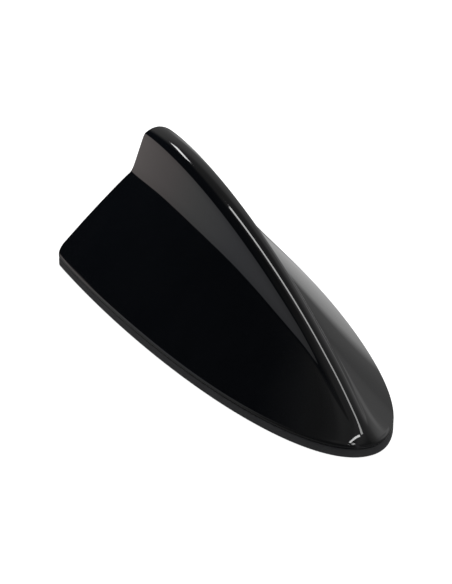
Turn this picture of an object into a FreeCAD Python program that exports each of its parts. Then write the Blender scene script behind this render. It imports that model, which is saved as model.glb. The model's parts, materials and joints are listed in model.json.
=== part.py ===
import FreeCAD, Part
import math
import os
import Sketcher

# A shark-fin roof antenna for a car. +X points at the nose, +Z up, millimetres.
# The origin is on the axis of the mounting stud, at the level of the car's roof:
# the underside of the roof seal is the plane Z = 0, and the stud and the two
# connectors hang through the roof below it.

V = FreeCAD.Vector
doc = FreeCAD.newDocument("roof_antenna")

# ------------------------------------------------------------------ dimensions
SIZES = [
    ("total_length", 160.3), ("half_width", 36.16), ("nose_x", 78.7), ("rear_overhang", 0.7),
    ("seal_band", 2.7), ("cover_wall", 2.2), ("edge_round", 0.9), ("corner_round", 3.6), ("rear_hollow", 1.5),
    ("flange_thick", 1.6), ("pan_level", 0.9), ("tray_depth", 0.9),
    ("neck_length", 24.0), ("neck_width", 28.0), ("neck_centre", -22.0), ("neck_depth", 4.1), ("neck_round", 5.0),
    ("pillar_dia", 8.0), ("pillar_height", 3.0), ("cover_boss_dia", 6.5),
    ("screw_dia", 3.0), ("screw_hole", 3.4), ("screw_head_dia", 5.6), ("screw_head_height", 2.0), ("screw_seat_dia", 6.2), ("screw_seat_depth", 2.6), ("screw_length", 11.0),
    ("standoff_dia", 6.0), ("standoff_height", 4.6), ("board_screw_dia", 2.5), ("board_screw_head", 4.6), ("board_screw_length", 7.0), ("tapped_hole", 2.6),
    ("stud_dia", 8.0), ("stud_collar", 9.6), ("stud_hole", 9.7), ("stud_end", 24.0), ("stud_head_dia", 13.0), ("stud_head_height", 3.9),
    ("board_level", 8.0), ("board_thick", 1.6), ("board_half_wide", 17.0), ("board_half_narrow", 11.5), ("board_rear", -56.0), ("board_front", 22.0), ("board_step", -22.0),
    ("patch_side", 18.0), ("patch_height", 4.0), ("patch_x", 5.0), ("tape_thick", 0.3), ("tape_side", 16.0), ("feed_dia", 1.0), ("feed_x", 7.5),
    ("holder_length", 58.0), ("holder_width", 8.0), ("holder_height", 2.2), ("post_width", 6.0), ("post_length", 4.0), ("post_height", 13.0), ("holder_x", -39.0), ("slot_width", 1.2),
    ("sheet_thick", 1.0),
    ("can_length", 20.0), ("can_width", 11.0), ("can_height", 3.0), ("can_wall", 0.3), ("can_x", -36.0), ("can_y", 10.5),
    ("plug_dia", 9.0), ("plug_hole", 9.2), ("plug_end", 14.0), ("plug_flange", 11.0), ("plug_flange_thick", 2.0), ("plug_x", -22.0), ("plug_y", 7.0), ("key_width", 1.4), ("key_height", 1.0),
    ("shell_dia", 5.2), ("shell_bore", 3.9), ("shell_end", 13.6), ("contact_dia", 1.2), ("contact_bore", 0.9),
    ("clip_width", 8.0), ("clip_thick", 0.6), ("clip_slot_width", 8.4), ("clip_slot", 0.8), ("clip_x", -22.0),
]
dims = doc.addObject("Spreadsheet::Sheet", "dims")
for row, (alias, value) in enumerate(SIZES, 1):
    dims.set("A%d" % row, alias)
    dims.set("B%d" % row, str(value))
    dims.setAlias("B%d" % row, alias)
doc.recompute()


def size(alias):
    return float(dims.get(alias))


# Places of the repeated pieces, as X, Y.
COVER_SCREWS = [(-62.0, 20.5), (-62.0, -20.5), (-4.0, 15.5), (-4.0, -15.5), (48.0, 0.0)]
BOARD_SCREWS = [(-52.0, 13.5), (-52.0, -13.5), (18.6, 9.0), (18.6, -9.0)]

# Plan outlines, each one cubic from the rear corner to the nose, mirrored:
# (distance u from the rear of the fin, half width) of its four poles. The skirt's corners overhang
# the rear of the fin a little.
OUTER = [(-size("rear_overhang"), size("half_width")), (72.9, 34.2), (159.6, 22.15), (159.6, 0.0)]
SKIRT_INSIDE = [(3.95, 33.4), (71.35, 31.0), (154.6, 17.6), (154.6, 0.0)]
FLANGE = [(6.15, 31.2), (69.85, 28.4), (144.35, 13.5), (144.35, 0.0)]
TRAY = [(10.95, 27.5), (66.85, 25.6), (137.35, 11.0), (137.35, 0.0)]
SEAL_INSIDE = [(14.4, 25.2), (64.85, 24.2), (133.85, 12.0), (133.85, 0.0)]
PAN = [(14.8, 24.8), (64.85, 23.8), (133.45, 11.6), (133.45, 0.0)]
REAR = size("nose_x") - size("total_length") + size("rear_overhang")


# ------------------------------------------------------------------ helpers
def new_body(name):
    body = doc.addObject("PartDesign::Body", name)
    body.Label = name
    return body


def plane(body, role):
    return [f for f in body.Origin.OriginFeatures if f.Role == role][0]


def new_sketch(body, name, level="0", role="XY_Plane"):
    sk = body.newObject("Sketcher::SketchObject", name)
    sk.AttachmentSupport = (plane(body, role), [""])
    sk.MapMode = "FlatFace"
    sk.setExpression("AttachmentOffset.Base.z", level)
    return sk


def bind(sk, number, name, expression):
    sk.renameConstraint(number, name)
    sk.setExpression("Constraints." + name, expression)


def add_rectangle(sk, name, cx, cy, lx, ly):
    """A rectangle given by expressions of its centre and sides."""
    n = sk.GeometryCount
    p = [V(-1, -1, 0), V(1, -1, 0), V(1, 1, 0), V(-1, 1, 0)]
    for i in range(4):
        sk.addGeometry(Part.LineSegment(p[i], p[(i + 1) % 4]), False)
    for i in range(4):
        sk.addConstraint(Sketcher.Constraint("Coincident", n + i, 2, n + (i + 1) % 4, 1))
    for i in (0, 2):
        sk.addConstraint(Sketcher.Constraint("Horizontal", n + i))
        sk.addConstraint(Sketcher.Constraint("Vertical", n + i + 1))
    c = sk.addConstraint(Sketcher.Constraint("DistanceX", n, 1, n, 2, 2.0))
    bind(sk, c, name + "_lx", lx)
    c = sk.addConstraint(Sketcher.Constraint("DistanceY", n + 1, 1, n + 1, 2, 2.0))
    bind(sk, c, name + "_ly", ly)
    c = sk.addConstraint(Sketcher.Constraint("DistanceX", -1, 1, n, 1, -1.0))
    bind(sk, c, name + "_px", "(%s) - (%s) / 2" % (cx, lx))
    c = sk.addConstraint(Sketcher.Constraint("DistanceY", -1, 1, n, 1, -1.0))
    bind(sk, c, name + "_py", "(%s) - (%s) / 2" % (cy, ly))


def add_circles(sk, name, places, diameter):
    """Equal circles at fixed places; the first carries the bound diameter."""
    first = sk.GeometryCount
    for i, (x, y) in enumerate(places):
        g = sk.addGeometry(Part.Circle(V(x, y, 0), V(0, 0, 1), 1.0), False)
        sk.addConstraint(Sketcher.Constraint("DistanceX", -1, 1, g, 3, x))
        sk.addConstraint(Sketcher.Constraint("DistanceY", -1, 1, g, 3, y))
        if i:
            sk.addConstraint(Sketcher.Constraint("Equal", first, g))
        else:
            c = sk.addConstraint(Sketcher.Constraint("Diameter", g, 2.0))
            bind(sk, c, name + "_dia", diameter)


def add_polygon(sk, points):
    n = sk.GeometryCount
    k = len(points)
    for i in range(k):
        a, b = points[i], points[(i + 1) % k]
        sk.addGeometry(Part.LineSegment(V(a[0], a[1], 0), V(b[0], b[1], 0)), False)
    for i in range(k):
        sk.addConstraint(Sketcher.Constraint("Coincident", n + i, 2, n + (i + 1) % k, 1))


def plan_edges(poles, r, z=0.0, bow=0.0):
    """Edges of a plan outline: two mirrored cubics, rounded rear corners and a rear edge that
    is straight or hollow, its middle lying forward of the corners by the bow."""
    def at(p, side=1):
        return V(p[0] + REAR, side * p[1], z)

    start = (poles[0][0] + r, poles[0][1])
    one = Part.BezierCurve()
    one.setPoles([at(start), at(poles[1]), at(poles[2]), at(poles[3])])
    two = Part.BezierCurve()
    two.setPoles([at(poles[3]), at(poles[2], -1), at(poles[1], -1), at(start, -1)])
    c = (poles[0][0] + r, poles[0][1] - r)
    q = math.sqrt(0.5) * r

    def corner(side):
        return Part.Arc(at((c[0], c[1] + r), side), at((c[0] - q, c[1] + q), side), at((c[0] - r, c[1]), side))

    if bow:
        rear = Part.BezierCurve()
        rear.setPoles([at((c[0] - r + f * bow, c[1] * y)) for f, y in ((0, -1), (0, -0.5), (8 / 3, 0), (0, 0.5), (0, 1))])
    else:
        rear = Part.LineSegment(at((c[0] - r, c[1]), -1), at((c[0] - r, c[1]), 1))
    return [one, two, corner(-1), rear, corner(1)]


def plan_wire(poles, r, z, bow=0.0):
    return Part.Wire(Part.__sortEdges__([e.toShape() for e in plan_edges(poles, r, z, bow)]))


def add_plan(sk, poles, r, bow=0.0):
    for e in plan_edges(poles, r, 0.0, bow):
        if isinstance(e, Part.BezierCurve):
            e = e.toBSpline()
        sk.addGeometry(e, False)


def pad(body, sk, name, length, down=False, kind="Pad"):
    f = body.newObject("PartDesign::" + kind, name)
    f.Profile = sk
    f.setExpression("Length", length)
    f.Reversed = down
    sk.Visibility = False
    doc.recompute()
    return f


def cut_all(body, sk, name):
    f = body.newObject("PartDesign::Pocket", name)
    f.Profile = sk
    f.Type = 1
    f.Midplane = True
    doc.recompute()
    return f


def cylinder(name, radius, height, base):
    c = doc.addObject("Part::Cylinder", name)
    c.setExpression("Radius", radius)
    c.setExpression("Height", height)
    c.Placement.Base = V(*base)
    return c


def box(name, lx, ly, lz, base):
    b = doc.addObject("Part::Box", name)
    for prop, e in (("Length", lx), ("Width", ly), ("Height", lz)):
        b.setExpression(prop, e)
    for axis, e in zip("xyz", base):
        b.setExpression("Placement.Base." + axis, e)
    return b


def feature(name, shape):
    f = doc.addObject("Part::Feature", name)
    f.Label = name
    f.Shape = shape
    f.Placement = FreeCAD.Placement()
    return f


PARTS = []

# ------------------------------------------------------------------ roof seal
# A moulded rubber ring under the edge of the cover. Its outer face is the dark band that
# shows all round, flush with the cover; its inner part is clamped under the base plate.
body = new_body("roof_seal")
sk = new_sketch(body, "seal_plan")
add_plan(sk, OUTER, size("corner_round"), size("rear_hollow"))
add_plan(sk, SEAL_INSIDE, 4.0)
pad(body, sk, "seal_ring", "dims.seal_band")
PARTS.append(body)

# ------------------------------------------------------------------ base plate
# One die casting: a flange that lies on the seal, a shallow pan inside the seal's ring, a neck
# that goes through the roof, seats for the cover's screws and standoffs for the board.
body = new_body("base_plate")
sk = new_sketch(body, "flange_plan", "dims.seal_band")
add_plan(sk, FLANGE, 2.0)
pad(body, sk, "flange", "dims.flange_thick")
sk = new_sketch(body, "pan_plan", "dims.seal_band")
add_plan(sk, PAN, 3.6)
pad(body, sk, "pan", "dims.seal_band - dims.pan_level", down=True)
sk = new_sketch(body, "tray_plan", "dims.seal_band + dims.flange_thick")
add_plan(sk, TRAY, 4.0)
pad(body, sk, "tray", "dims.tray_depth", kind="Pocket")
sk = new_sketch(body, "neck_plan", "dims.pan_level")
add_rectangle(sk, "neck", "dims.neck_centre", "0", "dims.neck_length", "dims.neck_width")
neck = pad(body, sk, "neck", "dims.neck_depth", down=True)
corners = []
for i, e in enumerate(body.Shape.Edges, 1):
    b = e.BoundBox
    if b.ZMax < size("pan_level") + 0.01 and b.ZMin < -1.0 and b.XLength < 0.01 and b.YLength < 0.01:
        corners.append("Edge%d" % i)
f = body.newObject("PartDesign::Fillet", "neck_corners")
f.Base = (neck, corners)
f.setExpression("Radius", "dims.neck_round")
doc.recompute()
TOP = "dims.seal_band + dims.flange_thick - dims.tray_depth"
sk = new_sketch(body, "pillar_plan", TOP)
add_circles(sk, "pillar", COVER_SCREWS, "dims.pillar_dia")
pad(body, sk, "pillars", "dims.pillar_height")
sk = new_sketch(body, "standoff_plan", TOP)
add_circles(sk, "standoff", BOARD_SCREWS, "dims.standoff_dia")
pad(body, sk, "standoffs", "dims.standoff_height")
sk = new_sketch(body, "screw_hole_plan", TOP)
add_circles(sk, "screw_hole", COVER_SCREWS, "dims.screw_hole")
cut_all(body, sk, "screw_holes")
sk = new_sketch(body, "screw_seat_plan", "dims.pan_level")
add_circles(sk, "screw_seat", COVER_SCREWS, "dims.screw_seat_dia")
f = pad(body, sk, "screw_seats", "dims.screw_seat_depth", down=True, kind="Pocket")
sk = new_sketch(body, "tapped_plan", "dims.board_level")
add_circles(sk, "tapped", BOARD_SCREWS, "dims.tapped_hole")
pad(body, sk, "tapped_holes", "dims.standoff_height + 1.2", kind="Pocket")
sk = new_sketch(body, "stud_hole_plan", TOP)
add_circles(sk, "stud_hole", [(0.0, 0.0)], "dims.stud_hole")
cut_all(body, sk, "stud_hole")
sk = new_sketch(body, "plug_hole_plan", TOP)
add_circles(sk, "plug_hole", [(size("plug_x"), size("plug_y")), (size("plug_x"), -size("plug_y"))], "dims.plug_hole")
cut_all(body, sk, "plug_holes")
sk = new_sketch(body, "clip_slot_plan", TOP)
for side, name in ((1, "left"), (-1, "right")):
    add_rectangle(sk, name, "dims.clip_x", "%d * (dims.neck_width / 2 - dims.clip_slot / 2)" % side, "dims.clip_slot_width", "dims.clip_slot")
cut_all(body, sk, "clip_slots")
PARTS.append(body)

# ------------------------------------------------------------------ cover
# A thin moulded shell. Its top is one height surface: flanks that rise from the plan outline,
# a steep blade along the middle with a round crest that falls to the nose, and a hollow bend
# where the two meet. Each is given along the distance u from the rear of the fin.
LENGTH = size("total_length") - size("rear_overhang")


def poly(coefficients, x):
    r = 0.0
    for c in reversed(coefficients):
        r = r * x + c
    return r


HALF_WIDTH = [8.43749, 2.19334, 20.32246, -36.00588, 21.55792]  # square of it, over what is left to the nose
CREST = [44.22729, 2.8301, -24.69092, 12.25386, -4.75978]
FLANK = [1.02881, 0.29866, -0.36804]


def soft_max(a, b, q):
    return max(a, b) + max(q - abs(a - b), 0.0) ** 2 / (4 * q)


def height(u, y, wall=0.0):
    x = u / 100.0
    ahead = max(1 - u / LENGTH, 0.0) ** 0.85
    w2 = (LENGTH - u) * poly(HALF_WIDTH, u / LENGTH)
    e2 = (7.6 - 4.0 * (u / LENGTH) ** 2) ** 2
    inside = (w2 - y * y) / (math.sqrt(max(w2 + e2, 1.0)) + math.sqrt(y * y + e2))
    s = math.pi * min(max((u - 16.0) / 125.0, 0.0), 1.0)
    k = poly(FLANK, x) + 0.41224 * max(x - 0.6, 0.0) ** 3 - 3.88155 * max(x - 1.25, 0.0) ** 2 - 0.03 * math.sin(2 * s) * math.sin(s)
    flank = 3.9 - 0.5 * u / LENGTH + k * inside - wall * math.sqrt(1 + k * k)
    t = math.tan(math.radians(70.0 - 0.5 * u / LENGTH))
    b = abs(y)
    crown = b * b / (2 * max(2.9 + 3.05 * ahead - wall, 1.0))
    side = (b - 1.95 - 2.22 * ahead) * t + wall * (math.sqrt(1 + t * t) - 1)
    end = min(max((u - 140.0) / 18.0, 0.0), 1.0)
    blade = poly(CREST, x) - 0.036 * max(u - 151.9, 0.0) ** 2 - 0.6 * end * end * (3 - 2 * end) - wall - soft_max(crown, side, 1.0)
    return soft_max(flank, blade, 1.8 - 0.6 * min(max(u / LENGTH, 0.0), 1.0))


def spread_knots(knots):
    t = [knots[0]] * 3 + list(knots) + [knots[-1]] * 3
    return [(t[i + 1] + t[i + 2] + t[i + 3]) / 3 for i in range(len(knots) + 2)]


def below_surface(wall):
    """The solid below the cover's top surface, or below its inside at this wall thickness."""
    ku = [-6.0 + 168.0 * i / 32 for i in range(33)]
    half = [0.5 * i for i in range(28)] + [14.2, 15.2, 17.0, 19.5, 23.0, 28.0, 34.0, 42.0]
    kv = [-v for v in reversed(half[1:])] + half
    poles = [[V(u + REAR, y, height(u, y, wall)) for y in spread_knots(kv)] for u in spread_knots(ku)]
    s = Part.BSplineSurface()
    s.buildFromPolesMultsKnots(poles, [4] + [1] * (len(ku) - 2) + [4], [4] + [1] * (len(kv) - 2) + [4], ku, kv, False, False, 3, 3)
    return s.toShape().extrude(V(0, 0, -90))


band = size("seal_band")
prism = Part.Face(plan_wire(OUTER, size("corner_round"), band, size("rear_hollow"))).extrude(V(0, 0, 60))
outer = prism.common(below_surface(0.0)).Solids[0]
upper = [e for e in outer.Edges if e.BoundBox.ZMax > band + 0.5 and (e.BoundBox.XLength > 0.01 or e.BoundBox.YLength > 0.01)]
outer = outer.makeFillet(size("edge_round"), upper)
hollow = Part.Face(plan_wire(SKIRT_INSIDE, 2.4, band - 1)).extrude(V(0, 0, 60)).common(below_surface(size("cover_wall"))).Solids[0]
shell = outer.cut(hollow)
half_way = below_surface(size("cover_wall") / 2)
seat = band + size("flange_thick") - size("tray_depth") + size("pillar_height")
for x, y in COVER_SCREWS:
    boss = Part.makeCylinder(size("cover_boss_dia") / 2, 40, V(x, y, seat)).common(half_way)
    shell = shell.fuse(boss)
for x, y in COVER_SCREWS:
    depth = size("screw_length") - size("pillar_height") + 1.2
    ceiling = height(x - REAR, abs(y) + 2.0, size("cover_wall"))
    shell = shell.cut(Part.makeCylinder(size("screw_dia") / 2 + 0.05, min(depth, ceiling - seat), V(x, y, seat)))
PARTS.append(feature("cover", shell.Solids[0] if len(shell.Solids) == 1 else shell))

# ------------------------------------------------------------------ cover screws
def group(name, pieces):
    g = doc.addObject("Part::Compound", name)
    g.Label = name
    g.Links = pieces
    return g


def recess(name, x, y, z, across, deep):
    """A star-shaped drive recess, as two crossed prisms."""
    a = doc.addObject("Part::Prism", name + "_a")
    a.Polygon = 6
    a.Circumradius = across / 2
    a.Height = deep
    a.Placement.Base = V(x, y, z)
    b = doc.addObject("Part::Prism", name + "_b")
    b.Polygon = 6
    b.Circumradius = across / 2
    b.Height = deep
    b.Placement = FreeCAD.Placement(V(x, y, z), FreeCAD.Rotation(V(0, 0, 1), 30))
    f = doc.addObject("Part::Fuse", name)
    f.Base, f.Tool = a, b
    return f


pieces = []
under_head = size("pan_level") + size("screw_seat_depth")
for i, (x, y) in enumerate(COVER_SCREWS):
    head = cylinder("cover_screw_head_%d" % i, "dims.screw_head_dia / 2", "dims.screw_head_height", (x, y, under_head - size("screw_head_height")))
    ceiling = height(x - REAR, abs(y) + 2.0, size("cover_wall"))
    reach = min(size("screw_length"), ceiling - under_head - 0.4)
    shank = cylinder("cover_screw_shank_%d" % i, "dims.screw_dia / 2", "%.3f" % reach, (x, y, under_head))
    f = doc.addObject("Part::Fuse", "cover_screw_blank_%d" % i)
    f.Base, f.Tool = head, shank
    c = doc.addObject("Part::Cut", "cover_screw_%d" % i)
    c.Base, c.Tool = f, recess("cover_screw_drive_%d" % i, x, y, under_head - size("screw_head_height") - 0.01, 2.7, 1.2)
    pieces.append(c)
PARTS.append(group("cover_screws", pieces))

# ------------------------------------------------------------------ mounting stud
body = new_body("mounting_stud")
sk = new_sketch(body, "head_plan", TOP)
add_circles(sk, "head", [(0.0, 0.0)], "dims.stud_head_dia")
pad(body, sk, "head", "dims.stud_head_height")
sk = new_sketch(body, "collar_plan", TOP)
add_circles(sk, "collar", [(0.0, 0.0)], "dims.stud_collar")
pad(body, sk, "collar", TOP + " - dims.pan_level", down=True)
sk = new_sketch(body, "shank_plan", "dims.pan_level")
add_circles(sk, "shank", [(0.0, 0.0)], "dims.stud_dia")
shank = pad(body, sk, "shank", "dims.stud_end + dims.pan_level", down=True)
ends = ["Edge%d" % i for i, e in enumerate(body.Shape.Edges, 1) if e.BoundBox.ZMax < -size("stud_end") + 0.01]
f = body.newObject("PartDesign::Chamfer", "lead_in")
f.Base = (shank, ends)
f.Size = 1.0
doc.recompute()
PARTS.append(body)

# ------------------------------------------------------------------ retaining clips
# Two bent strips of spring steel that hold the antenna in the roof while it is screwed down.
pieces = []
outside = size("neck_width") / 2 - 0.1
thick = size("clip_thick")
tray = band + size("flange_thick") - size("tray_depth")
for side, name in ((1, "left_clip"), (-1, "right_clip")):
    body = new_body(name)
    sk = new_sketch(body, name + "_profile", "dims.clip_x - dims.clip_width / 2", "YZ_Plane")
    o = outside
    profile = [(o - thick, tray + thick), (o - thick, -8.4), (o + 0.35, -8.4), (o + 3.3, -3.0), (o + 2.75, -2.7), (o, -7.6), (o, tray), (o + 2.4, tray), (o + 2.4, tray + thick)]
    add_polygon(sk, [(side * y, z) for y, z in profile])
    pad(body, sk, name + "_strip", "dims.clip_width")
    pieces.append(body)
PARTS.append(group("retaining_clips", pieces))

# ------------------------------------------------------------------ main board
body = new_body("main_board")
sk = new_sketch(body, "board_plan", "dims.board_level")
xr, xs, xf = size("board_rear"), size("board_step"), size("board_front")
yw, yn = size("board_half_wide"), size("board_half_narrow")
half = [(xr, yw), (xs - 3.5, yw), (xs, yn), (xf - 3.0, yn), (xf, yn - 3.0)]
add_polygon(sk, half + [(x, -y) for x, y in reversed(half)])
pad(body, sk, "board", "dims.board_thick")
sk = new_sketch(body, "board_hole_plan", "dims.board_level")
add_circles(sk, "fixing", BOARD_SCREWS, "dims.tapped_hole + 0.3")
add_circles(sk, "contact_hole", [(size("plug_x"), size("plug_y")), (size("plug_x"), -size("plug_y"))], "dims.contact_dia + 0.2")
add_circles(sk, "feed_hole", [(size("feed_x"), 0.0)], "dims.feed_dia + 0.2")
add_rectangle(sk, "tab_slot", "dims.holder_x", "0", "4.4", "dims.slot_width")
cut_all(body, sk, "board_holes")
PARTS.append(body)

board_top = size("board_level") + size("board_thick")
pieces = []
for i, (x, y) in enumerate(BOARD_SCREWS):
    head = cylinder("board_screw_head_%d" % i, "dims.board_screw_head / 2", "1.6", (x, y, board_top))
    shank = cylinder("board_screw_shank_%d" % i, "dims.board_screw_dia / 2", "dims.board_screw_length", (x, y, board_top - size("board_screw_length")))
    f = doc.addObject("Part::Fuse", "board_screw_blank_%d" % i)
    f.Base, f.Tool = head, shank
    c = doc.addObject("Part::Cut", "board_screw_%d" % i)
    c.Base, c.Tool = f, recess("board_screw_drive_%d" % i, x, y, board_top + 0.7, 2.2, 1.0)
    pieces.append(c)
PARTS.append(group("board_screws", pieces))

# ------------------------------------------------------------------ navigation patch
TOP_OF_BOARD = "dims.board_level + dims.board_thick"
body = new_body("gps_patch")
sk = new_sketch(body, "patch_plan", TOP_OF_BOARD + " + dims.tape_thick")
add_rectangle(sk, "patch", "dims.patch_x", "0", "dims.patch_side", "dims.patch_side")
block = pad(body, sk, "patch_block", "dims.patch_height")
sk = new_sketch(body, "patch_hole_plan", TOP_OF_BOARD)
add_circles(sk, "patch_hole", [(size("feed_x"), 0.0)], "dims.feed_dia + 0.2")
cut_all(body, sk, "patch_hole")
PARTS.append(body)

body = new_body("patch_tape")
sk = new_sketch(body, "tape_plan", TOP_OF_BOARD)
add_rectangle(sk, "tape", "dims.patch_x", "0", "dims.tape_side", "dims.tape_side")
add_circles(sk, "tape_hole", [(size("feed_x"), 0.0)], "dims.feed_dia + 1.0")
pad(body, sk, "tape_sheet", "dims.tape_thick")
PARTS.append(body)

body = new_body("gps_feed_pin")
sk = new_sketch(body, "pin_plan", TOP_OF_BOARD + " + dims.tape_thick + dims.patch_height")
add_circles(sk, "pin", [(size("feed_x"), 0.0)], "dims.feed_dia")
pad(body, sk, "pin", "dims.patch_height + dims.tape_thick + dims.board_thick + 0.9", down=True)
sk = new_sketch(body, "pin_head_plan", TOP_OF_BOARD + " + dims.tape_thick + dims.patch_height")
add_circles(sk, "pin_head", [(size("feed_x"), 0.0)], "2.2")
pad(body, sk, "pin_head", "0.35")
PARTS.append(body)

# ------------------------------------------------------------------ telephone antenna and its holder
body = new_body("antenna_holder")
sk = new_sketch(body, "holder_plan", TOP_OF_BOARD)
add_rectangle(sk, "strip", "dims.holder_x", "0", "dims.holder_length", "dims.holder_width")
pad(body, sk, "strip", "dims.holder_height")
sk = new_sketch(body, "post_plan", TOP_OF_BOARD + " + dims.holder_height")
for name, sign in (("rear_post", "-"), ("front_post", "+")):
    add_rectangle(sk, name, "dims.holder_x %s (dims.holder_length - dims.post_length) / 2" % sign, "0", "dims.post_length", "dims.post_width")
pad(body, sk, "posts", "dims.post_height")
sk = new_sketch(body, "slot_plan", TOP_OF_BOARD + " + dims.holder_height + dims.post_height")
add_rectangle(sk, "slot", "dims.holder_x", "0", "dims.holder_length - 3", "dims.slot_width")
pad(body, sk, "slot", "dims.post_height + 1.4", kind="Pocket")
sk = new_sketch(body, "tab_plan", TOP_OF_BOARD)
add_rectangle(sk, "tab", "dims.holder_x", "0", "4.4", "dims.slot_width")
cut_all(body, sk, "tab_hole")
PARTS.append(body)

body = new_body("phone_antenna")
sk = new_sketch(body, "sheet_profile", "-dims.sheet_thick / 2", "XZ_Plane")
foot = board_top + size("holder_height") - 1.4
hx = size("holder_x")
rear, front = hx - size("holder_length") / 2 + 1.7, hx + size("holder_length") / 2 - 1.7
top_rear = height(rear + 4 - REAR, 0.0, size("cover_wall")) - 2.2
top_front = height(front - REAR, 0.0, size("cover_wall")) - 2.6
add_polygon(sk, [(rear, foot), (hx - 2, foot), (hx - 2, size("board_level")), (hx + 2, size("board_level")), (hx + 2, foot), (front, foot), (front, top_front), (hx, height(hx - REAR, 0.0, size("cover_wall")) - 2.6), (rear + 4, top_rear), (rear, top_rear - 3.5)])
pad(body, sk, "sheet", "dims.sheet_thick")
PARTS.append(body)

# ------------------------------------------------------------------ amplifier under its shield
body = new_body("shield_can")
sk = new_sketch(body, "can_plan", TOP_OF_BOARD)
add_rectangle(sk, "can", "dims.can_x", "dims.can_y", "dims.can_length", "dims.can_width")
pad(body, sk, "can", "dims.can_height")
sk = new_sketch(body, "can_inside_plan", TOP_OF_BOARD + " + dims.can_height - dims.can_wall")
add_rectangle(sk, "can_inside", "dims.can_x", "dims.can_y", "dims.can_length - 2 * dims.can_wall", "dims.can_width - 2 * dims.can_wall")
pad(body, sk, "can_inside", "dims.can_height", kind="Pocket")
PARTS.append(body)


def chip(name, x, y, lx, ly, lz):
    c = box(name, str(lx), str(ly), str(lz), ("dims.can_x + (%s)" % x, "dims.can_y + (%s)" % y, TOP_OF_BOARD))
    c.Label = name
    return c


PARTS.append(chip("amplifier_chip", -9.0, -2.0, 4.0, 4.0, 0.9))
PARTS.append(group("filter_chips", [chip("filter_chip_a", -1.5, -1.5, 3.0, 3.0, 1.1), chip("filter_chip_b", 4.5, -1.5, 3.0, 3.0, 1.1)]))
PARTS.append(group("chip_capacitors", [chip("capacitor_%d" % i, -9.2 + 2.7 * i, 3.2, 1.6, 0.8, 0.8) for i in range(7)]))

# ------------------------------------------------------------------ connectors
# Two coaxial connectors through the neck. Each housing carries coding ribs at its own places, so that
# the two cables can't be swapped; the metal shell, its insulator and the centre contact run up to the board.
PLUG = {"gps_connector": (1, ((90, ), (210, ))), "phone_connector": (-1, ((90, ), (330, )))}
for name, (side, keys) in PLUG.items():
    px, py = size("plug_x"), side * size("plug_y")
    body = new_body(name)
    sk = new_sketch(body, name + "_flange_plan", TOP)
    add_rectangle(sk, "flange", "dims.plug_x", "%d * dims.plug_y" % side, "dims.plug_flange", "dims.plug_flange")
    pad(body, sk, name + "_flange", "dims.plug_flange_thick")
    sk = new_sketch(body, name + "_body_plan", TOP)
    add_circles(sk, "tube", [(px, py)], "dims.plug_dia")
    pad(body, sk, name + "_tube", "dims.plug_end + " + TOP, down=True)
    sk = new_sketch(body, name + "_key_plan", "-dims.plug_end")
    r0, r1, half_key = size("plug_dia") / 2 - 0.6, size("plug_dia") / 2 + size("key_height"), size("key_width") / 2
    for (angle, ) in keys:
        c, s = math.cos(math.radians(angle)), math.sin(math.radians(angle))
        add_polygon(sk, [(px + r * c - w * s, py + r * s + w * c) for r, w in ((r0, -half_key), (r1, -half_key), (r1, half_key), (r0, half_key))])
    pad(body, sk, name + "_keys", "dims.plug_end - 5.5")
    sk = new_sketch(body, name + "_bore_plan", TOP)
    add_circles(sk, "bore", [(px, py)], "dims.shell_dia")
    cut_all(body, sk, name + "_bore")
    PARTS.append(body)

shells, insulators, contacts = [], [], []
for side, name in ((1, "gps"), (-1, "phone")):
    px, py = size("plug_x"), side * size("plug_y")
    body = new_body(name + "_shell")
    sk = new_sketch(body, name + "_shell_plan", "-dims.shell_end")
    add_circles(sk, "shell", [(px, py)], "dims.shell_dia")
    add_circles(sk, "shell_bore", [(px, py)], "dims.shell_bore")
    pad(body, sk, name + "_shell_tube", "dims.shell_end + dims.board_level")
    shells.append(body)
    body = new_body(name + "_insulator")
    sk = new_sketch(body, name + "_insulator_plan", "-dims.shell_end")
    add_circles(sk, "insulator", [(px, py)], "dims.shell_bore")
    add_circles(sk, "insulator_bore", [(px, py)], "dims.contact_dia")
    pad(body, sk, name + "_insulator_rod", "dims.shell_end + dims.board_level")
    insulators.append(body)
    body = new_body(name + "_contact")
    sk = new_sketch(body, name + "_contact_plan", "-dims.shell_end + 0.3")
    add_circles(sk, "contact", [(px, py)], "dims.contact_dia")
    pad(body, sk, name + "_contact_rod", "dims.shell_end - 0.3 + " + TOP_OF_BOARD)
    sk = new_sketch(body, name + "_contact_bore_plan", "-dims.shell_end + 0.3")
    add_circles(sk, "contact_bore", [(px, py)], "dims.contact_bore")
    pad(body, sk, name + "_contact_bore", "4", down=True, kind="Pocket")
    contacts.append(body)
PARTS.append(group("connector_shells", shells))
PARTS.append(group("connector_insulators", insulators))
PARTS.append(group("connector_contacts", contacts))

# ------------------------------------------------------------------ test and write
doc.recompute()
for o in doc.Objects:
    bad = [s for s in o.State if s in ("Invalid", "Error")]
    if bad:
        raise SystemExit("%s is %s" % (o.Name, bad))
os.makedirs("parts", exist_ok=True)
for o in PARTS:
    s = o.Shape
    if s.isNull() or not s.isValid() or not s.Solids:
        raise SystemExit("%s has no valid shape" % o.Label)
    print("%-22s solids %d volume %.1f" % (o.Label, len(s.Solids), s.Volume))
for o in PARTS:
    o.Shape.exportStep("parts/%s.step" % o.Label)
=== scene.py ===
import json
import math

import bmesh
import bpy
import numpy as np
from mathutils import Matrix, Vector

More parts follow.
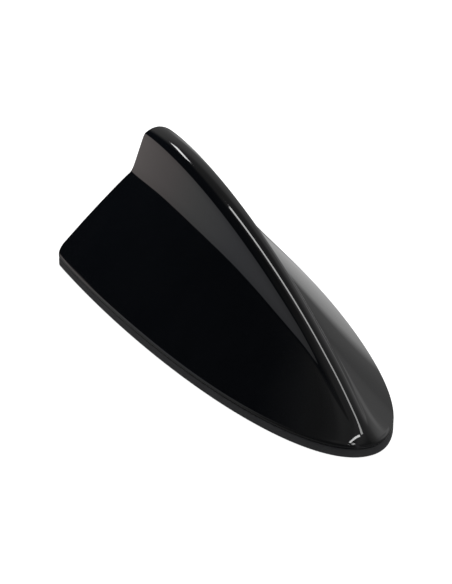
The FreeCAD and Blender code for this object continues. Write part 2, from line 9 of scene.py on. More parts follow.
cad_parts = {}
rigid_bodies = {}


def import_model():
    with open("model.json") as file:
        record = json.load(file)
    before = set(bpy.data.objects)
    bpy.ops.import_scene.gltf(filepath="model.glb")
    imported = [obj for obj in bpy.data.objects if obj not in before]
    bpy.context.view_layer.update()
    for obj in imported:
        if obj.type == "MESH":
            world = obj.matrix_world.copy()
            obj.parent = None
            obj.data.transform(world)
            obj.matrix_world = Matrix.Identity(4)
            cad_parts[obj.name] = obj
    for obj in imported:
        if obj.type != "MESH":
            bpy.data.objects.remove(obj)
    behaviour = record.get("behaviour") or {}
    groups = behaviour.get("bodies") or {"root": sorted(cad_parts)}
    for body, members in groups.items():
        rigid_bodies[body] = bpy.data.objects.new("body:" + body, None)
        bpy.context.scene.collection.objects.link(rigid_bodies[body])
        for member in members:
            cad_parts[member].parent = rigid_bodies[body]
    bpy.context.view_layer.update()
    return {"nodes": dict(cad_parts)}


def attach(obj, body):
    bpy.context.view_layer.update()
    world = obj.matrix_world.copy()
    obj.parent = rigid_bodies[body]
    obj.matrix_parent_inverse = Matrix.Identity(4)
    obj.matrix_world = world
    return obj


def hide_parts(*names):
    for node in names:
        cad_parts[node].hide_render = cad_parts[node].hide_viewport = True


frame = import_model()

NODES = frame["nodes"]
MM = 0.001

# ============================================================================
# The cover's surface, in millimetres: u is the distance from the rear edge,
# y the side, and the height is a blend of flanks and a blade with a round crest.
# ============================================================================
LEN, REAR = 159.6, -80.9
BAND = 2.7
CORNER, BOW = 3.6, 1.5
OUTER = [(-0.7, 36.16), (72.9, 34.2), (159.6, 22.15), (159.6, 0.0)]
SKIRT_INSIDE = [(3.95, 33.4), (71.35, 31.0), (154.6, 17.6), (154.6, 0.0)]
SEAL_INSIDE = [(14.4, 25.2), (64.85, 24.2), (133.85, 12.0), (133.85, 0.0)]
COVER_SCREWS = [(-62.0, 20.5), (-62.0, -20.5), (-4.0, 15.5), (-4.0, -15.5), (48.0, 0.0)]
HALF_WIDTH = [8.43749, 2.19334, 20.32246, -36.00588, 21.55792]
CREST = [44.19, 2.8301, -24.69092, 12.25386, -4.75978]
FLANK = [1.02881, 0.29866, -0.36804]


def poly(c, x):
    r = 0.0
    for a in reversed(c):
        r = r * x + a
    return r


def soft_max(a, b, q):
    """The larger of two heights, with a round where they meet."""
    return np.maximum(a, b) + np.maximum(q - np.abs(a - b), 0.0) ** 2 / (4 * q)


def height(u, y, wall=0.0):
    u = np.asarray(u, float)
    y = np.asarray(y, float)
    x = u / 100.0
    ahead = np.maximum(1 - u / LEN, 0.0) ** 0.85
    w2 = (LEN - u) * poly(HALF_WIDTH, u / LEN)
    e2 = (7.6 - 4.0 * (u / LEN) ** 2) ** 2
    inside = (w2 - y * y) / (np.sqrt(np.maximum(w2 + e2, 1.0)) + np.sqrt(y * y + e2))
    s = np.pi * np.clip((u - 16.0) / 125.0, 0.0, 1.0)
    k = poly(FLANK, x) + 0.41224 * np.maximum(x - 0.6, 0.0) ** 3 - 3.88155 * np.maximum(x - 1.25, 0.0) ** 2 - 0.03 * np.sin(2 * s) * np.sin(s)
    flank = 3.9 - 0.5 * u / LEN + k * inside - wall * np.sqrt(1 + k * k)
    t = np.tan(np.radians(70.0 - 0.5 * u / LEN))
    b = np.abs(y)
    crown = b * b / (2 * np.maximum(2.9 + 3.05 * ahead - wall, 1.0))
    side = (b - 1.95 - 2.22 * ahead) * t + wall * (np.sqrt(1 + t * t) - 1)
    end = np.clip((u - 140.0) / 18.0, 0.0, 1.0)
    blade = poly(CREST, x) - 0.036 * np.maximum(u - 151.9, 0.0) ** 2 - 0.6 * end * end * (3 - 2 * end) - wall - soft_max(crown, side, 1.0)
    return soft_max(flank, blade, 1.8 - 0.6 * np.clip(u / LEN, 0.0, 1.0) - 0.5 * end * end)


def hollow(y, poles, corner, bow):
    """How far the rear edge stands forward of its corners."""
    x = np.minimum(np.abs(y) / (poles[0][1] - corner), 1.0)
    return bow * (1 - x * x) ** 2


def bezier(p, t):
    p = np.array(p, float)
    t = np.asarray(t, float)[..., None]
    return (1 - t) ** 3 * p[0] + 3 * (1 - t) ** 2 * t * p[1] + 3 * (1 - t) * t * t * p[2] + t ** 3 * p[3]


def outline(poles, corner, count, corner_steps):
    """Half of a plan outline from the end of the rear edge, round the corner and along the side to the nose, with
    closer points at the nose: (u and half width, outward normals, share of the length)."""
    side = [(poles[0][0] + corner, poles[0][1])] + list(poles[1:])
    t = np.linspace(0, 1, 20001)
    o = bezier(side, t)
    step = np.hypot(*np.diff(o, axis=0).T)
    run = np.concatenate([[0], np.cumsum(step)])
    left = run[-1] - run
    density = 1.0 + 6.0 / (1 + (left / 10.0) ** 2) + 0.5 / (1 + (run / 8.0) ** 2)
    weight = np.concatenate([[0], np.cumsum(step * (density[1:] + density[:-1]) / 2)])
    tt = np.interp(np.linspace(0, weight[-1], count), weight, t)
    o = bezier(side, tt)
    d = bezier(side, np.minimum(tt + 1e-4, 1)) - bezier(side, np.maximum(tt - 1e-4, 0))
    d /= np.hypot(d[:, 0], d[:, 1])[:, None]
    n = np.stack([-d[:, 1], d[:, 0]], 1)
    n[-1] = (1.0, 0.0)
    o[-1] = poles[3]
    a = np.linspace(math.pi / 2, 0, corner_steps, endpoint=False)
    turn = np.stack([-np.sin(a), np.cos(a)], 1)
    o = np.concatenate([np.array([poles[0][0] + corner, poles[0][1] - corner]) + corner * turn, o])
    n = np.concatenate([turn, n])
    length = np.concatenate([[0], np.cumsum(np.hypot(*np.diff(o, axis=0).T))])
    return o, n, length / length[-1]


def edge(O, N, wall, r):
    """Where a round of radius r joins the top surface at one outline point: distance in, slope angle, level of its centre."""
    de = r * 0.5
    for _ in range(8):
        lo = max(de - 0.04, 0.0)
        q, qa, qb = O - N * de, O - N * (de + 0.04), O - N * lo
        z = float(height(q[0], q[1], wall))
        m = (float(height(qa[0], qa[1], wall)) - float(height(qb[0], qb[1], wall))) / (de + 0.04 - lo)
        al = math.atan(m)
        de = r * (1 - math.sin(al))
    return de, al, z - r * math.cos(al), z


def skin(poles, corner, wall, bottom, round_, foot, count, split, corner_steps=12, columns=24, arc_steps=7, fan_end=152.4, bow=0.0):
    """One skin of the shell, open below: from its foot over the rounded edge to the crest, and the rear face.
    Returns (points, faces, the loop of its foot)."""
    o, n, share = outline(poles, corner, count, corner_steps)
    total = len(o)
    v = []
    for a, b, k in split:
        v += list(np.linspace(a, b, k, endpoint=False))
    v = np.array(v + [0.0])                      # share of the half width left, from the rounded edge to the crest
    rows = []
    start = edge(np.array([poles[0][0] + bow, 0.0]), np.array([-1.0, 0.0]), wall, round_)[0] + poles[0][0] + bow
    rear = []                                    # per sample of the rear line: the round's own data
    for i in range(total):
        O, N = o[i], n[i]
        de, al, zc, z = edge(O, N, wall, round_)
        zc = max(zc, bottom + foot + 0.05)
        row = []
        if foot:
            for a in (0.0, 0.35, 0.7, 1.0):
                row.append((foot * (1 - math.sin(a * math.pi / 2)), bottom + foot * (1 - math.cos(a * math.pi / 2))))
        else:
            row.append((0.0, bottom))
        low = row[-1][1]
        for a in (0.33, 0.66):
            row.append((0.0, low + (zc - low) * a))
        wall_rows = len(row) + 1
        for a in np.linspace(math.pi, math.pi / 2 + al, arc_steps + 1):
            row.append((round_ * (1 + math.cos(a)), zc + round_ * math.sin(a)))
        pts = [(O[0] - N[0] * d, O[1] - N[1] * d, h) for d, h in row]
        if i == 0:
            for f in v[1:]:
                y = O[1] * f
                u0 = O[0] + float(hollow(y, poles, corner, bow))
                de, al, zc, z = edge(np.array([u0, y]), N, wall, round_)
                rear.append((u0, y, al, zc))
                pts.append((u0 + de, y, z))
        else:
            A = np.array(pts[-1][:2])
            M = np.array([start + (fan_end - start) * share[i], 0.0])
            plan = M + (A - M) * v[1:, None]
            if bow:
                x = np.minimum(plan[:, 1] / (poles[0][1] - corner), 1.0)
                plan[:, 0] += (hollow(plan[:, 1], poles, corner, bow) - bow * (1 - x)) * math.exp(-14 * share[i])
            pts += [(q[0], q[1], float(h)) for q, h in zip(plan, height(plan[:, 0], plan[:, 1], wall))]
        rows.append(pts)
    rows = np.array(rows)
    J = rows.shape[1]
    first = wall_rows + arc_steps                # index of the first sample past the round
    verts, faces = [], []

    def add(q):
        verts.append((q[0] + REAR, q[1], q[2]))
        return len(verts) - 1

    right = np.zeros((total, J), int)
    left = np.zeros((total, J), int)
    for i in range(total):
        for j in range(J):
            q = rows[i, j]
            right[i, j] = add(q)
            left[i, j] = right[i, j] if (j == J - 1 or i == total - 1) else add((q[0], -q[1], q[2]))
    for i in range(total - 1):
        for j in range(J - 1):
            faces.append((right[i, j], right[i + 1, j], right[i + 1, j + 1], right[i, j + 1]))
            faces.append((left[i, j], left[i, j + 1], left[i + 1, j + 1], left[i + 1, j]))
    # the round along the rear edge, from the top surface down to the rear plane
    arcs_r = [[right[0, first - 1 - k] for k in range(arc_steps + 1)]]
    arcs_l = [[left[0, first - 1 - k] for k in range(arc_steps + 1)]]
    for s, (u0, y, al, zc) in enumerate(rear):
        j = first + s
        r, l = [right[0, j]], [left[0, j]]
        for a in np.linspace(math.pi / 2 + al, math.pi, arc_steps + 1)[1:]:
            q = (u0 + round_ * (1 + math.cos(a)), y, zc + round_ * math.sin(a))
            r.append(add(q))
            l.append(r[-1] if j == J - 1 else add((q[0], -y, q[2])))
        arcs_r.append(r)
        arcs_l.append(l)
    for s in range(len(arcs_r) - 1):
        for k in range(arc_steps):
            faces.append((arcs_r[s][k], arcs_r[s + 1][k], arcs_r[s + 1][k + 1], arcs_r[s][k + 1]))
            faces.append((arcs_l[s][k], arcs_l[s][k + 1], arcs_l[s + 1][k + 1], arcs_l[s + 1][k]))
    # rear face, in rows across
    side_r = [right[0, k] for k in range(wall_rows)] + [r[-1] for r in arcs_r[1:]]
    side_l = [left[0, k] for k in range(wall_rows)] + [l[-1] for l in arcs_l[1:]]
    top = verts[side_r[-1]][2]
    grid = []
    for a, b in zip(side_r[:-1], side_l[:-1]):
        x, y, z = verts[a]
        line = [a]
        for c in range(1, columns):
            f = 1 - 2 * c / columns
            line.append(add((x - REAR + float(hollow(y * f, poles, corner, bow) - hollow(y, poles, corner, bow)), y * f, z)))
        line.append(b)
        grid.append(line)
    for j in range(len(grid) - 1):
        for c in range(columns):
            faces.append((grid[j][c], grid[j + 1][c], grid[j + 1][c + 1], grid[j][c + 1]))
    for c in range(columns):
        faces.append((grid[-1][c], side_r[-1], grid[-1][c + 1]))
    loop = [right[i, 0] for i in range(total)] + [left[i, 0] for i in range(total - 2, -1, -1)]
    loop += [grid[0][c] for c in range(columns - 1, 0, -1)]
    return verts, faces, loop


def tube(x, y, r_out, r_in, z_low, z_bore, z_top, seg=40):
    """A closed boss with a blind bore from below; z_top gives the height of its top at each point."""
    verts, faces = [], []

    def ring(r, z):
        ids = []
        for s in range(seg):
            a = 2 * math.pi * s / seg
            px, py = x + r * math.cos(a), y + r * math.sin(a)
            verts.append((px, py, z(px, py) if callable(z) else z))
            ids.append(len(verts) - 1)
        return ids

    def band(a, b):
        for s in range(seg):
            faces.append((a[s], a[(s + 1) % seg], b[(s + 1) % seg], b[s]))

    outer0, outer1 = ring(r_out, z_low), ring(r_out, z_top)
    inner0, inner1 = ring(r_in, z_low), ring(r_in, z_bore)
    band(outer0, outer1)
    band(inner0, outer0)
    band(inner1, inner0)
    faces.append(tuple(reversed(inner1)))
    mid = ring(r_out * 0.5, z_top)
    band(outer1, mid)
    faces.append(tuple(mid))
    return verts, faces


def make_object(name, verts, faces, material, smooth=True, body="root"):
    me = bpy.data.meshes.new(name)
    me.from_pydata([(v[0] * MM, v[1] * MM, v[2] * MM) for v in verts], [], [tuple(int(i) for i in f) for f in faces])
    me.validate()
    me.update()
    ob = bpy.data.objects.new(name, me)
    bpy.context.scene.collection.objects.link(ob)
    me.materials.append(material)
    for p in me.polygons:
        p.use_smooth = smooth
    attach(ob, body)
    return ob


# ============================================================================
# Materials
# ============================================================================
def new_material(name):
    m = bpy.data.materials.new(name)
    m.use_nodes = True
    nt = m.node_tree
    nt.nodes.clear()
    out = nt.nodes.new("ShaderNodeOutputMaterial")
    b = nt.nodes.new("ShaderNodeBsdfPrincipled")
    nt.links.new(b.outputs[0], out.inputs[0])
    return m, nt, b


def node(nt, kind, **values):
    n = nt.nodes.new(kind)
    for k, v in values.items():
        if k in n.inputs:
            n.inputs[k].default_value = v
        else:
            setattr(n, k, v)
    return n


def noise(nt, scale, detail=3.0, rough=0.55, coords=None):
    c = coords or nt.nodes.new("ShaderNodeTexCoord").outputs["Object"]
    n = node(nt, "ShaderNodeTexNoise", Scale=scale, Detail=detail, Roughness=rough)
    nt.links.new(c, n.inputs["Vector"])
    return n.outputs["Fac"]


def ramp(nt, fac, stops):
    r = nt.nodes.new("ShaderNodeValToRGB")
    el = r.color_ramp.elements
    el[0].position, el[0].color = stops[0][0], stops[0][1]
    el[1].position, el[1].color = stops[-1][0], stops[-1][1]
    for pos, col in stops[1:-1]:
        e = el.new(pos)
        e.color = col
    nt.links.new(fac, r.inputs["Fac"])
    return r.outputs["Color"]


def span(nt, fac, lo, hi):
    m = node(nt, "ShaderNodeMapRange")
    m.inputs["To Min"].default_value = lo
    m.inputs["To Max"].default_value = hi
    nt.links.new(fac, m.inputs["Value"])
    return m.outputs["Result"]


def bump(nt, bsdf, fac, distance, strength=1.0, socket="Normal"):
    b = node(nt, "ShaderNodeBump", Strength=strength, Distance=distance)
    nt.links.new(fac, b.inputs["Height"])
    nt.links.new(b.outputs["Normal"], bsdf.inputs[socket])
    return b


def grey(v, a=1.0):
    return (v, v, v, a)


def lacquer():
    """Piano-black lacquer on moulded plastic: a deep black coat with the faintest orange peel and polish haze."""
    m, nt, b = new_material("black_lacquer")
    haze = noise(nt, 55.0, 4.0, 0.6)
    nt.links.new(ramp(nt, haze, [(0.3, (0.0021, 0.0024, 0.0029, 1)), (0.7, (0.0034, 0.0037, 0.0043, 1))]), b.inputs["Base Color"])
    nt.links.new(span(nt, haze, 0.022, 0.045), b.inputs["Roughness"])
    b.inputs["IOR"].default_value = 1.52
    b.inputs["Specular IOR Level"].default_value = 0.5
    peel = noise(nt, 900.0, 1.0, 0.4)
    bump(nt, b, peel, 0.0000012, 0.5)
    return m


def rubber(name, dark, light, rough=0.55):
    m, nt, b = new_material(name)
    cloud = noise(nt, 160.0, 5.0, 0.6)
    nt.links.new(ramp(nt, cloud, [(0.3, dark), (0.72, light)]), b.inputs["Base Color"])
    nt.links.new(span(nt, cloud, rough - 0.07, rough + 0.09), b.inputs["Roughness"])
    b.inputs["Specular IOR Level"].default_value = 0.42
    fine = noise(nt, 4200.0, 3.0, 0.6)
    bump(nt, b, fine, 0.00002, 0.35)
    return m


def metal(name, lo, hi, rough, grain=900.0, stretch=None, depth=0.00003, metallic=1.0):
    m, nt, b = new_material(name)
    tc = nt.nodes.new("ShaderNodeTexCoord").outputs["Object"]
    if stretch:
        mp = node(nt, "ShaderNodeMapping")
        mp.inputs["Scale"].default_value = stretch
        nt.links.new(tc, mp.inputs["Vector"])
        tc = mp.outputs["Vector"]
    g = noise(nt, grain, 4.0, 0.6, tc)
    big = noise(nt, grain / 9.0, 3.0, 0.5, tc)
    mix = node(nt, "ShaderNodeMath", operation="MULTIPLY_ADD")
    mix.inputs[1].default_value = 0.5
    nt.links.new(g, mix.inputs[0])
    half = node(nt, "ShaderNodeMath", operation="MULTIPLY")
    half.inputs[1].default_value = 0.5
    nt.links.new(big, half.inputs[0])
    nt.links.new(half.outputs[0], mix.inputs[2])
    nt.links.new(ramp(nt, mix.outputs[0], [(0.3, lo), (0.7, hi)]), b.inputs["Base Color"])
    b.inputs["Metallic"].default_value = metallic
    nt.links.new(span(nt, big, rough - 0.08, rough + 0.1), b.inputs["Roughness"])
    bump(nt, b, g, depth, 0.4)
    return m


def plastic(name, lo, hi, rough=0.42, grain=1500.0, depth=0.00002):
    m, nt, b = new_material(name)
    g = noise(nt, grain, 3.0, 0.6)
    big = noise(nt, 120.0, 3.0, 0.5)
    nt.links.new(ramp(nt, big, [(0.3, lo), (0.7, hi)]), b.inputs["Base Color"])
    nt.links.new(span(nt, big, rough - 0.06, rough + 0.08), b.inputs["Roughness"])
    bump(nt, b, g, depth, 0.35)
    return m


LACQUER = lacquer()
RUBBER = rubber("seal_rubber", (0.016, 0.0165, 0.0185, 1), (0.026, 0.0265, 0.029, 1))
CAST = metal("cast_zinc", (0.36, 0.37, 0.39, 1), (0.55, 0.56, 0.58, 1), 0.46, 700.0, depth=0.00006)
ZINC = metal("zinc_plate", (0.52, 0.53, 0.55, 1), (0.72, 0.72, 0.73, 1), 0.3, 1500.0)
YELLOW_ZINC = metal("passivated_zinc", (0.55, 0.5, 0.34, 1), (0.74, 0.68, 0.5, 1), 0.28, 1400.0)
SPRING = metal("spring_steel", (0.25, 0.25, 0.27, 1), (0.42, 0.42, 0.44, 1), 0.33, 900.0, stretch=(1.0, 1.0, 0.08))
TIN = metal("tin_plate", (0.58, 0.58, 0.57, 1), (0.76, 0.76, 0.75, 1), 0.24, 1100.0, stretch=(0.1, 1.0, 1.0))
NICKEL = metal("nickel_plate", (0.5, 0.47, 0.4, 1), (0.68, 0.64, 0.56, 1), 0.2, 1600.0)
GOLD = metal("gold_plate", (0.7, 0.5, 0.18, 1), (0.86, 0.66, 0.3, 1), 0.2, 1600.0)
BOARD = plastic("solder_mask", (0.008, 0.07, 0.03, 1), (0.014, 0.1, 0.045, 1), 0.28)
CERAMIC = plastic("fired_ceramic", (0.52, 0.46, 0.36, 1), (0.62, 0.57, 0.47, 1), 0.4)
TAPE = plastic("adhesive_tape", (0.68, 0.68, 0.64, 1), (0.78, 0.78, 0.74, 1), 0.6)
HOLDER = plastic("holder_plastic", (0.02, 0.02, 0.022, 1), (0.035, 0.035, 0.037, 1), 0.45)
COPPER_BOARD = plastic("radiator_board", (0.02, 0.1, 0.05, 1), (0.4, 0.2, 0.09, 1), 0.32)
EPOXY = plastic("chip_epoxy", (0.01, 0.01, 0.011, 1), (0.018, 0.018, 0.019, 1), 0.5)
CHIP = plastic("chip_ceramic", (0.3, 0.2, 0.12, 1), (0.42, 0.3, 0.2, 1), 0.45)
BLUE = plastic("blue_code", (0.012, 0.07, 0.3, 1), (0.018, 0.1, 0.38, 1), 0.4)
VIOLET = plastic("violet_code", (0.14, 0.012, 0.07, 1), (0.2, 0.02, 0.1, 1), 0.4)
WHITE = plastic("white_insulator", (0.72, 0.72, 0.7, 1), (0.82, 0.82, 0.8, 1), 0.4)

FINISH = {
    "base_plate": CAST, "cover_screws": ZINC, "retaining_clips": SPRING, "main_board": BOARD, "board_screws": ZINC,
    "gps_patch": CERAMIC, "patch_tape": TAPE, "gps_feed_pin": GOLD, "antenna_holder": HOLDER, "phone_antenna": COPPER_BOARD,
    "shield_can": TIN, "amplifier_chip": EPOXY, "filter_chips": NICKEL, "chip_capacitors": CHIP, "gps_connector": BLUE,
    "phone_connector": VIOLET, "connector_shells": NICKEL, "connector_insulators": WHITE, "connector_contacts": GOLD,
}
for name, material in FINISH.items():
    ob = NODES[name]
    ob.data.materials.clear()
    ob.data.materials.append(material)

# ============================================================================
# Cover
# ============================================================================
SPLIT = [(1.0, 0.5, 24), (0.5, 0.12, 42), (0.12, 0.0, 20)]
COUNT = 205
v1, f1, loop1 = skin(OUTER, CORNER, 0.0, BAND, 0.9, 0.3, COUNT, SPLIT, bow=BOW)
v2, f2, loop2 = skin(SKIRT_INSIDE, 2.4, 2.2, BAND, 0.3, 0.0, COUNT, [(1.0, 0.5, 7), (0.5, 0.12, 12), (0.12, 0.0, 6)], arc_steps=3, fan_end=148.4)
verts = list(v1) + list(v2)
base = len(v1)
faces = list(f1) + [tuple(base + i for i in reversed(f)) for f in f2]
n = len(loop1)
assert n == len(loop2)
for i in range(n):
    a, b = loop1[i], loop1[(i + 1) % n]
    c, d = base + loop2[(i + 1) % n], base + loop2[i]
    faces.append((b, a, d, c))
for x, y in COVER_SCREWS:
    seat = 6.4
    ceiling = float(height(x - REAR, abs(y) + 2.0, 2.2))
    tv, tf = tube(x, y, 3.25, 1.55, seat, seat + min(9.2, ceiling - seat), lambda px, py: float(height(px - REAR, py, 1.1)))
    k = len(verts)
    verts += tv
    faces += [tuple(k + i for i in f) for f in tf]
cover = make_object("fin_cover", verts, faces, LACQUER)
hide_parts("cover")

# ============================================================================
# Roof seal: its band shows under the cover, with a fine parting line above it and two lips below
# ============================================================================
def plan_loop(poles, corner, count=150, corner_steps=10, columns=30, bow=0.0):
    o, _, _ = outline(poles, corner, count, corner_steps)
    pts = [tuple(q) for q in o] + [(q[0], -q[1]) for q in o[-2::-1]]
    y = o[0][1]
    for i in range(1, columns):
        side = -y + 2 * y * i / columns
        pts.append((poles[0][0] + float(hollow(side, poles, corner, bow)), side))
    return np.array(pts)


outer_loop = plan_loop(OUTER, CORNER, bow=BOW)
inner_loop = plan_loop(SEAL_INSIDE, 4.0)
# (share of the way in from the outer edge, height)
SECTION = [(0.0, 1.35), (0.0, 2.28), (0.004, 2.45), (0.013, 2.58), (0.03, 2.66), (0.05, 2.7), (0.3, 2.7), (0.65, 2.7), (1.0, 2.7), (1.0, 1.4), (1.0, 0.25), (0.985, 0.06), (0.96, 0.0), (0.8, 0.0), (0.74, 0.05), (0.7, 0.6), (0.64, 0.75), (0.4, 0.75), (0.34, 0.6), (0.3, 0.05), (0.25, 0.0), (0.07, 0.0), (0.035, 0.03), (0.014, 0.12), (0.003, 0.3), (0.0, 0.5)]
verts, faces = [], []
m = len(outer_loop)
for s, z in SECTION:
    p = outer_loop + (inner_loop - outer_loop) * s
    verts += [(q[0] + REAR, q[1], z) for q in p]
for a in range(len(SECTION)):
    b = (a + 1) % len(SECTION)
    for i in range(m):
        j = (i + 1) % m
        faces.append((a * m + i, b * m + i, b * m + j, a * m + j))
seal = make_object("rubber_seal", verts, faces, RUBBER)
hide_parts("roof_seal")

# ============================================================================
# Mounting stud with its thread
# ============================================================================
def stud():
    seg, pitch, deep = 64, 1.25, 0.62
    rings = [(7.3, 0.0), (7.3, 5.9), (6.7, 6.5), (3.9, 6.5), (3.4, 6.0), (3.4, 4.8), (0.9, 4.8), (0.9, 4.0)]
    verts, faces = [], []

    def ring(z, r, wave=0.0):
        ids = []
        for s in range(seg):
            a = 2 * math.pi * s / seg
            if wave:
                f = (z / pitch + s / seg) % 1.0
                t = max(0.0, min(1.0, (abs(2 * f - 1) - 0.1) / 0.8))
                rr = r - wave * t
            else:
                rr = r
            verts.append((rr * math.cos(a), rr * math.sin(a), z))
            ids.append(len(verts) - 1)
        return ids

    prev = None
    for z, r in rings[1:]:
        cur = ring(z, r)
        if prev is None:
            faces.append(tuple(cur))
        else:
            for s in range(seg):
                faces.append((prev[s], cur[s], cur[(s + 1) % seg], prev[(s + 1) % seg]))
        prev = cur
    steps = 150
    for k in range(1, steps + 1):
        z = 0.9 - 24.9 * k / steps
        fade = min(1.0, k / 8.0)
        lead = max(0.0, (-23.0 - z))
        cur = ring(z, 4.0 - lead * 0.75, deep * fade * (1 - 0.6 * min(lead, 1.0)))
        for s in range(seg):
            faces.append((prev[s], cur[s], cur[(s + 1) % seg], prev[(s + 1) % seg]))
        prev = cur
    faces.append(tuple(reversed(prev)))
    ob = make_object("threaded_stud", verts, [tuple(reversed(f)) for f in faces], YELLOW_ZINC)
    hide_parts("mounting_stud")


stud()

for ob in list(bpy.data.objects):
    if ob.type == "MESH" and ob.name in ("fin_cover", "rubber_seal", "threaded_stud"):
        bm = bmesh.new()
        bm.from_mesh(ob.data)
        bmesh.ops.recalc_face_normals(bm, faces=bm.faces)
        bm.to_mesh(ob.data)
        bm.free()

# ============================================================================
# Floor, light and camera
# ============================================================================
def floor():
    me = bpy.data.meshes.new("floor")
    s = 6.0
    me.from_pydata([(-s, -s, 0), (s, -s, 0), (s, s, 0), (-s, s, 0)], [], [(0, 1, 2, 3)])
    ob = bpy.data.objects.new("floor", me)
    bpy.context.scene.collection.objects.link(ob)
    ob.location.z = -0.0002
    m, nt, b = new_material("pale_floor")
    b.inputs["Base Color"].default_value = (0.8, 0.8, 0.8, 1)
    b.inputs["Roughness"].default_value = 0.9
    b.inputs["Specular IOR Level"].default_value = 0.0
    b.inputs["Emission Color"].default_value = (1, 1, 1, 1)
    b.inputs["Emission Strength"].default_value = 0.95
    me.materials.append(m)
    ob.visible_glossy = False


def backdrop():
    """A pale dome behind the floor, for the camera only."""
    seg, rings, r = 96, 24, 5.9
    verts, faces = [], []
    for i in range(rings):
        e = math.pi / 2 * i / rings
        for k in range(seg):
            a = 2 * math.pi * k / seg
            verts.append((r * math.cos(e) * math.cos(a), r * math.cos(e) * math.sin(a), r * math.sin(e) - 0.001))
    verts.append((0, 0, r - 0.001))
    for i in range(rings - 1):
        for k in range(seg):
            j = (k + 1) % seg
            faces.append((i * seg + k, (i + 1) * seg + k, (i + 1) * seg + j, i * seg + j))
    for k in range(seg):
        faces.append(((rings - 1) * seg + k, len(verts) - 1, (rings - 1) * seg + (k + 1) % seg))
    me = bpy.data.meshes.new("backdrop")
    me.from_pydata(verts, [], faces)
    ob = bpy.data.objects.new("backdrop", me)
    bpy.context.scene.collection.objects.link(ob)
    m, nt, b = new_material("pale_backdrop")
    b.inputs["Base Color"].default_value = (0.8, 0.8, 0.8, 1)
    b.inputs["Roughness"].default_value = 0.9
    b.inputs["Specular IOR Level"].default_value = 0.0
    b.inputs["Emission Color"].default_value = (1, 1, 1, 1)
    b.inputs["Emission Strength"].default_value = 1.0
    me.materials.append(m)
    ob.visible_glossy = False
    ob.visible_diffuse = False
    ob.visible_transmission = False
    ob.visible_shadow = False


floor()
backdrop()


def area(name, place, aim, sx, sy, power, colour=(1, 1, 1), roll=0.0):
    d = bpy.data.lights.new(name, "AREA")
    d.shape = "RECTANGLE"
    d.size, d.size_y = sx, sy
    d.energy = power
    d.color = colour
    ob = bpy.data.objects.new(name, d)
    bpy.context.scene.collection.objects.link(ob)
    ob.location = place
    q = (Vector(aim) - Vector(place)).to_track_quat("-Z", "Y")
    ob.rotation_euler = (q.to_matrix() @ Matrix.Rotation(roll, 3, "Z")).to_euler()
    return ob


# Ceiling lamps, far enough off to be mirrored as lines: one along the fin, one across its nose, one small one behind
area("strip_along", (-1.05, 0.68, 3.0), (-1.05, 0.68, 0.0), 3.4, 0.42, 27.0, roll=math.radians(11))
area("strip_across", (0.71, -0.05, 3.0), (0.71, -0.05, 0.0), 0.13, 1.15, 6.1)
area("small_lamp", (-3.0, 0.12, 2.0), (0.0, 0.0, 0.04), 0.42, 0.22, 1.75, roll=math.radians(60))

# The studio round it: dark above on the near side, a pale band low down behind it, and a soft window ahead on the far side
world = bpy.data.worlds.new("studio")
bpy.context.scene.world = world
world.use_nodes = True
wt = world.node_tree
wt.nodes.clear()
way = wt.nodes.new("ShaderNodeTexCoord").outputs["Generated"]


def facing(azimuth, elevation):
    """Cosine to a direction, given in degrees."""
    a, e = math.radians(azimuth), math.radians(elevation)
    d = wt.nodes.new("ShaderNodeVectorMath")
    d.operation = "DOT_PRODUCT"
    d.inputs[1].default_value = (math.cos(a) * math.cos(e), math.sin(a) * math.cos(e), math.sin(e))
    wt.links.new(way, d.inputs[0])
    return d.outputs["Value"]


def along(value, stops):
    """A ramp over a cosine; stops are (cosine, brightness or colour)."""
    m = wt.nodes.new("ShaderNodeMapRange")
    m.inputs["From Min"].default_value = -1.0
    m.inputs["From Max"].default_value = 1.0
    wt.links.new(value, m.inputs["Value"])
    return ramp(wt, m.outputs["Result"], [((c + 1) / 2, b if isinstance(b, tuple) else grey(b)) for c, b in stops])


def rise(value, low, high):
    """0 below the one cosine and 1 above the other."""
    m = wt.nodes.new("ShaderNodeMapRange")
    m.interpolation_type = "SMOOTHSTEP"
    m.inputs["From Min"].default_value = low
    m.inputs["From Max"].default_value = high
    wt.links.new(value, m.inputs["Value"])
    return m.outputs["Result"]


def combine(kind, a, b, share=None):
    n = wt.nodes.new("ShaderNodeMix")
    n.data_type = "RGBA"
    n.blend_type = kind
    n.inputs[0].default_value = 1.0
    if share is not None:
        wt.links.new(share, n.inputs[0])
    wt.links.new(a, n.inputs[6])
    wt.links.new(b, n.inputs[7])
    return n.outputs[2]


rising = facing(0, 90)
nothing = along(rising, [(-1, 0.0), (1, 0.0)])
dark = along(rising, [(-1, (0.012, 0.015, 0.021, 1)), (0.6, (0.013, 0.016, 0.022, 1)), (0.76, (0.026, 0.029, 0.034, 1)), (0.87, grey(0.05)), (0.93, grey(0.1)), (0.96, grey(0.2)), (1, grey(0.24))])
dark = combine("ADD", dark, along(facing(-100, 60), [(-1, 0.0), (0.86, 0.0), (0.93, 0.03), (0.97, 0.06), (1, 0.06)]))
band = along(facing(-65, 0), [(-1, 0.1), (-0.42, 0.3), (-0.05, (0.62, 0.56, 0.545, 1)), (0.087, (0.52, 0.475, 0.47, 1)), (0.156, 0.43), (0.25, (0.36, 0.365, 0.39, 1)), (0.42, (0.35, 0.355, 0.375, 1)), (0.55, 0.34), (0.68, 0.08), (1, 0.06)])
band = combine("MIX", along(rising, [(-1, 0.16), (1, 0.16)]), band, rise(rising, -0.3, -0.1))
near = combine("MIX", band, dark, rise(facing(165, 62), 0.551, 0.571))
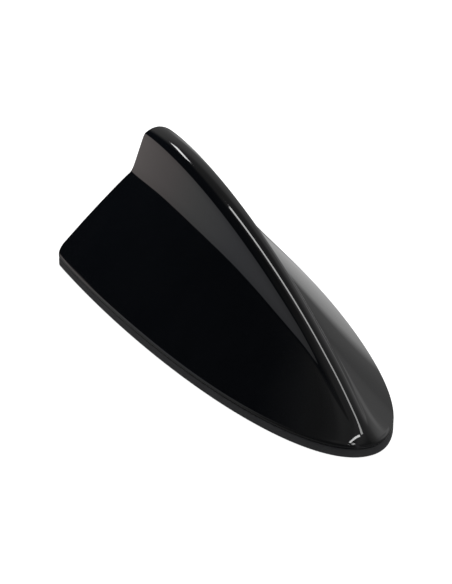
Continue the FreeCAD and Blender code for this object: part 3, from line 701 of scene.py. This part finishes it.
level = along(rising, [(-1, 0.1), (-0.3, 0.13), (-0.1, 0.15), (0.0, 0.175), (0.3, 0.2), (0.45, 0.2), (0.55, 0.11), (0.68, 0.1), (0.8, 0.15), (0.87, 0.24), (0.93, 0.34), (1, 0.3)])
low = along(facing(-120.7, -34.6), [(-1, 0.0), (-0.04, 0.0), (0.03, 0.27), (0.1, 0.31), (0.2, 0.34), (0.3, 0.5), (1, 0.5)])
low = combine("MIX", nothing, low, rise(facing(65, 0), -0.03, 0.05))
root = along(facing(-121, 52), [(-1, 0.0), (-0.05, 0.0), (-0.02, 0.32), (0.02, 0.32), (0.05, 0.0), (1, 0.0)])
low = combine("ADD", low, combine("MIX", nothing, root, rise(facing(124, 16), 0.93, 0.97)))
far = combine("ADD", level, low)
window = along(facing(97, 25), [(-1, 0.0), (0.74, 0.0), (0.79, 0.02), (0.84, 0.1), (0.875, 0.15), (0.927, 0.24), (0.961, 0.37), (0.99, 0.7), (1, 0.85)])
light = combine("ADD", combine("MIX", near, far, rise(facing(90, 0), -0.1, 0.04)), window)
back_ = wt.nodes.new("ShaderNodeBackground")
wt.links.new(light, back_.inputs["Color"])
wo = wt.nodes.new("ShaderNodeOutputWorld")
wt.links.new(back_.outputs[0], wo.inputs[0])

bpy.context.scene.view_settings.view_transform = "Standard"
bpy.context.scene.view_settings.look = "None"

# The camera stands as in the photograph: 452 x 584, no roll
cam = bpy.data.cameras.new("camera")
cam_ob = bpy.data.objects.new("camera", cam)
bpy.context.scene.collection.objects.link(cam_ob)
AZ, EL, DIST = math.radians(68.732), math.radians(21.908), 0.400
target = Vector((0.00591, -0.0094, 0.018))
back = Vector((math.sin(AZ) * math.cos(EL), -math.cos(AZ) * math.cos(EL), math.sin(EL)))
cam_ob.location = target + back * DIST
cam_ob.rotation_euler = back.to_track_quat("Z", "Y").to_euler()
cam.sensor_width = 36.0
cam.sensor_height = 36.0
cam.sensor_fit = "AUTO"
cam.lens = 1405.36 / 584.0 * 36.0
cam.shift_x = 0.943 / 584.0
cam.shift_y = 0.569 / 584.0
cam.clip_start = 0.01
bpy.context.scene.camera = cam_ob
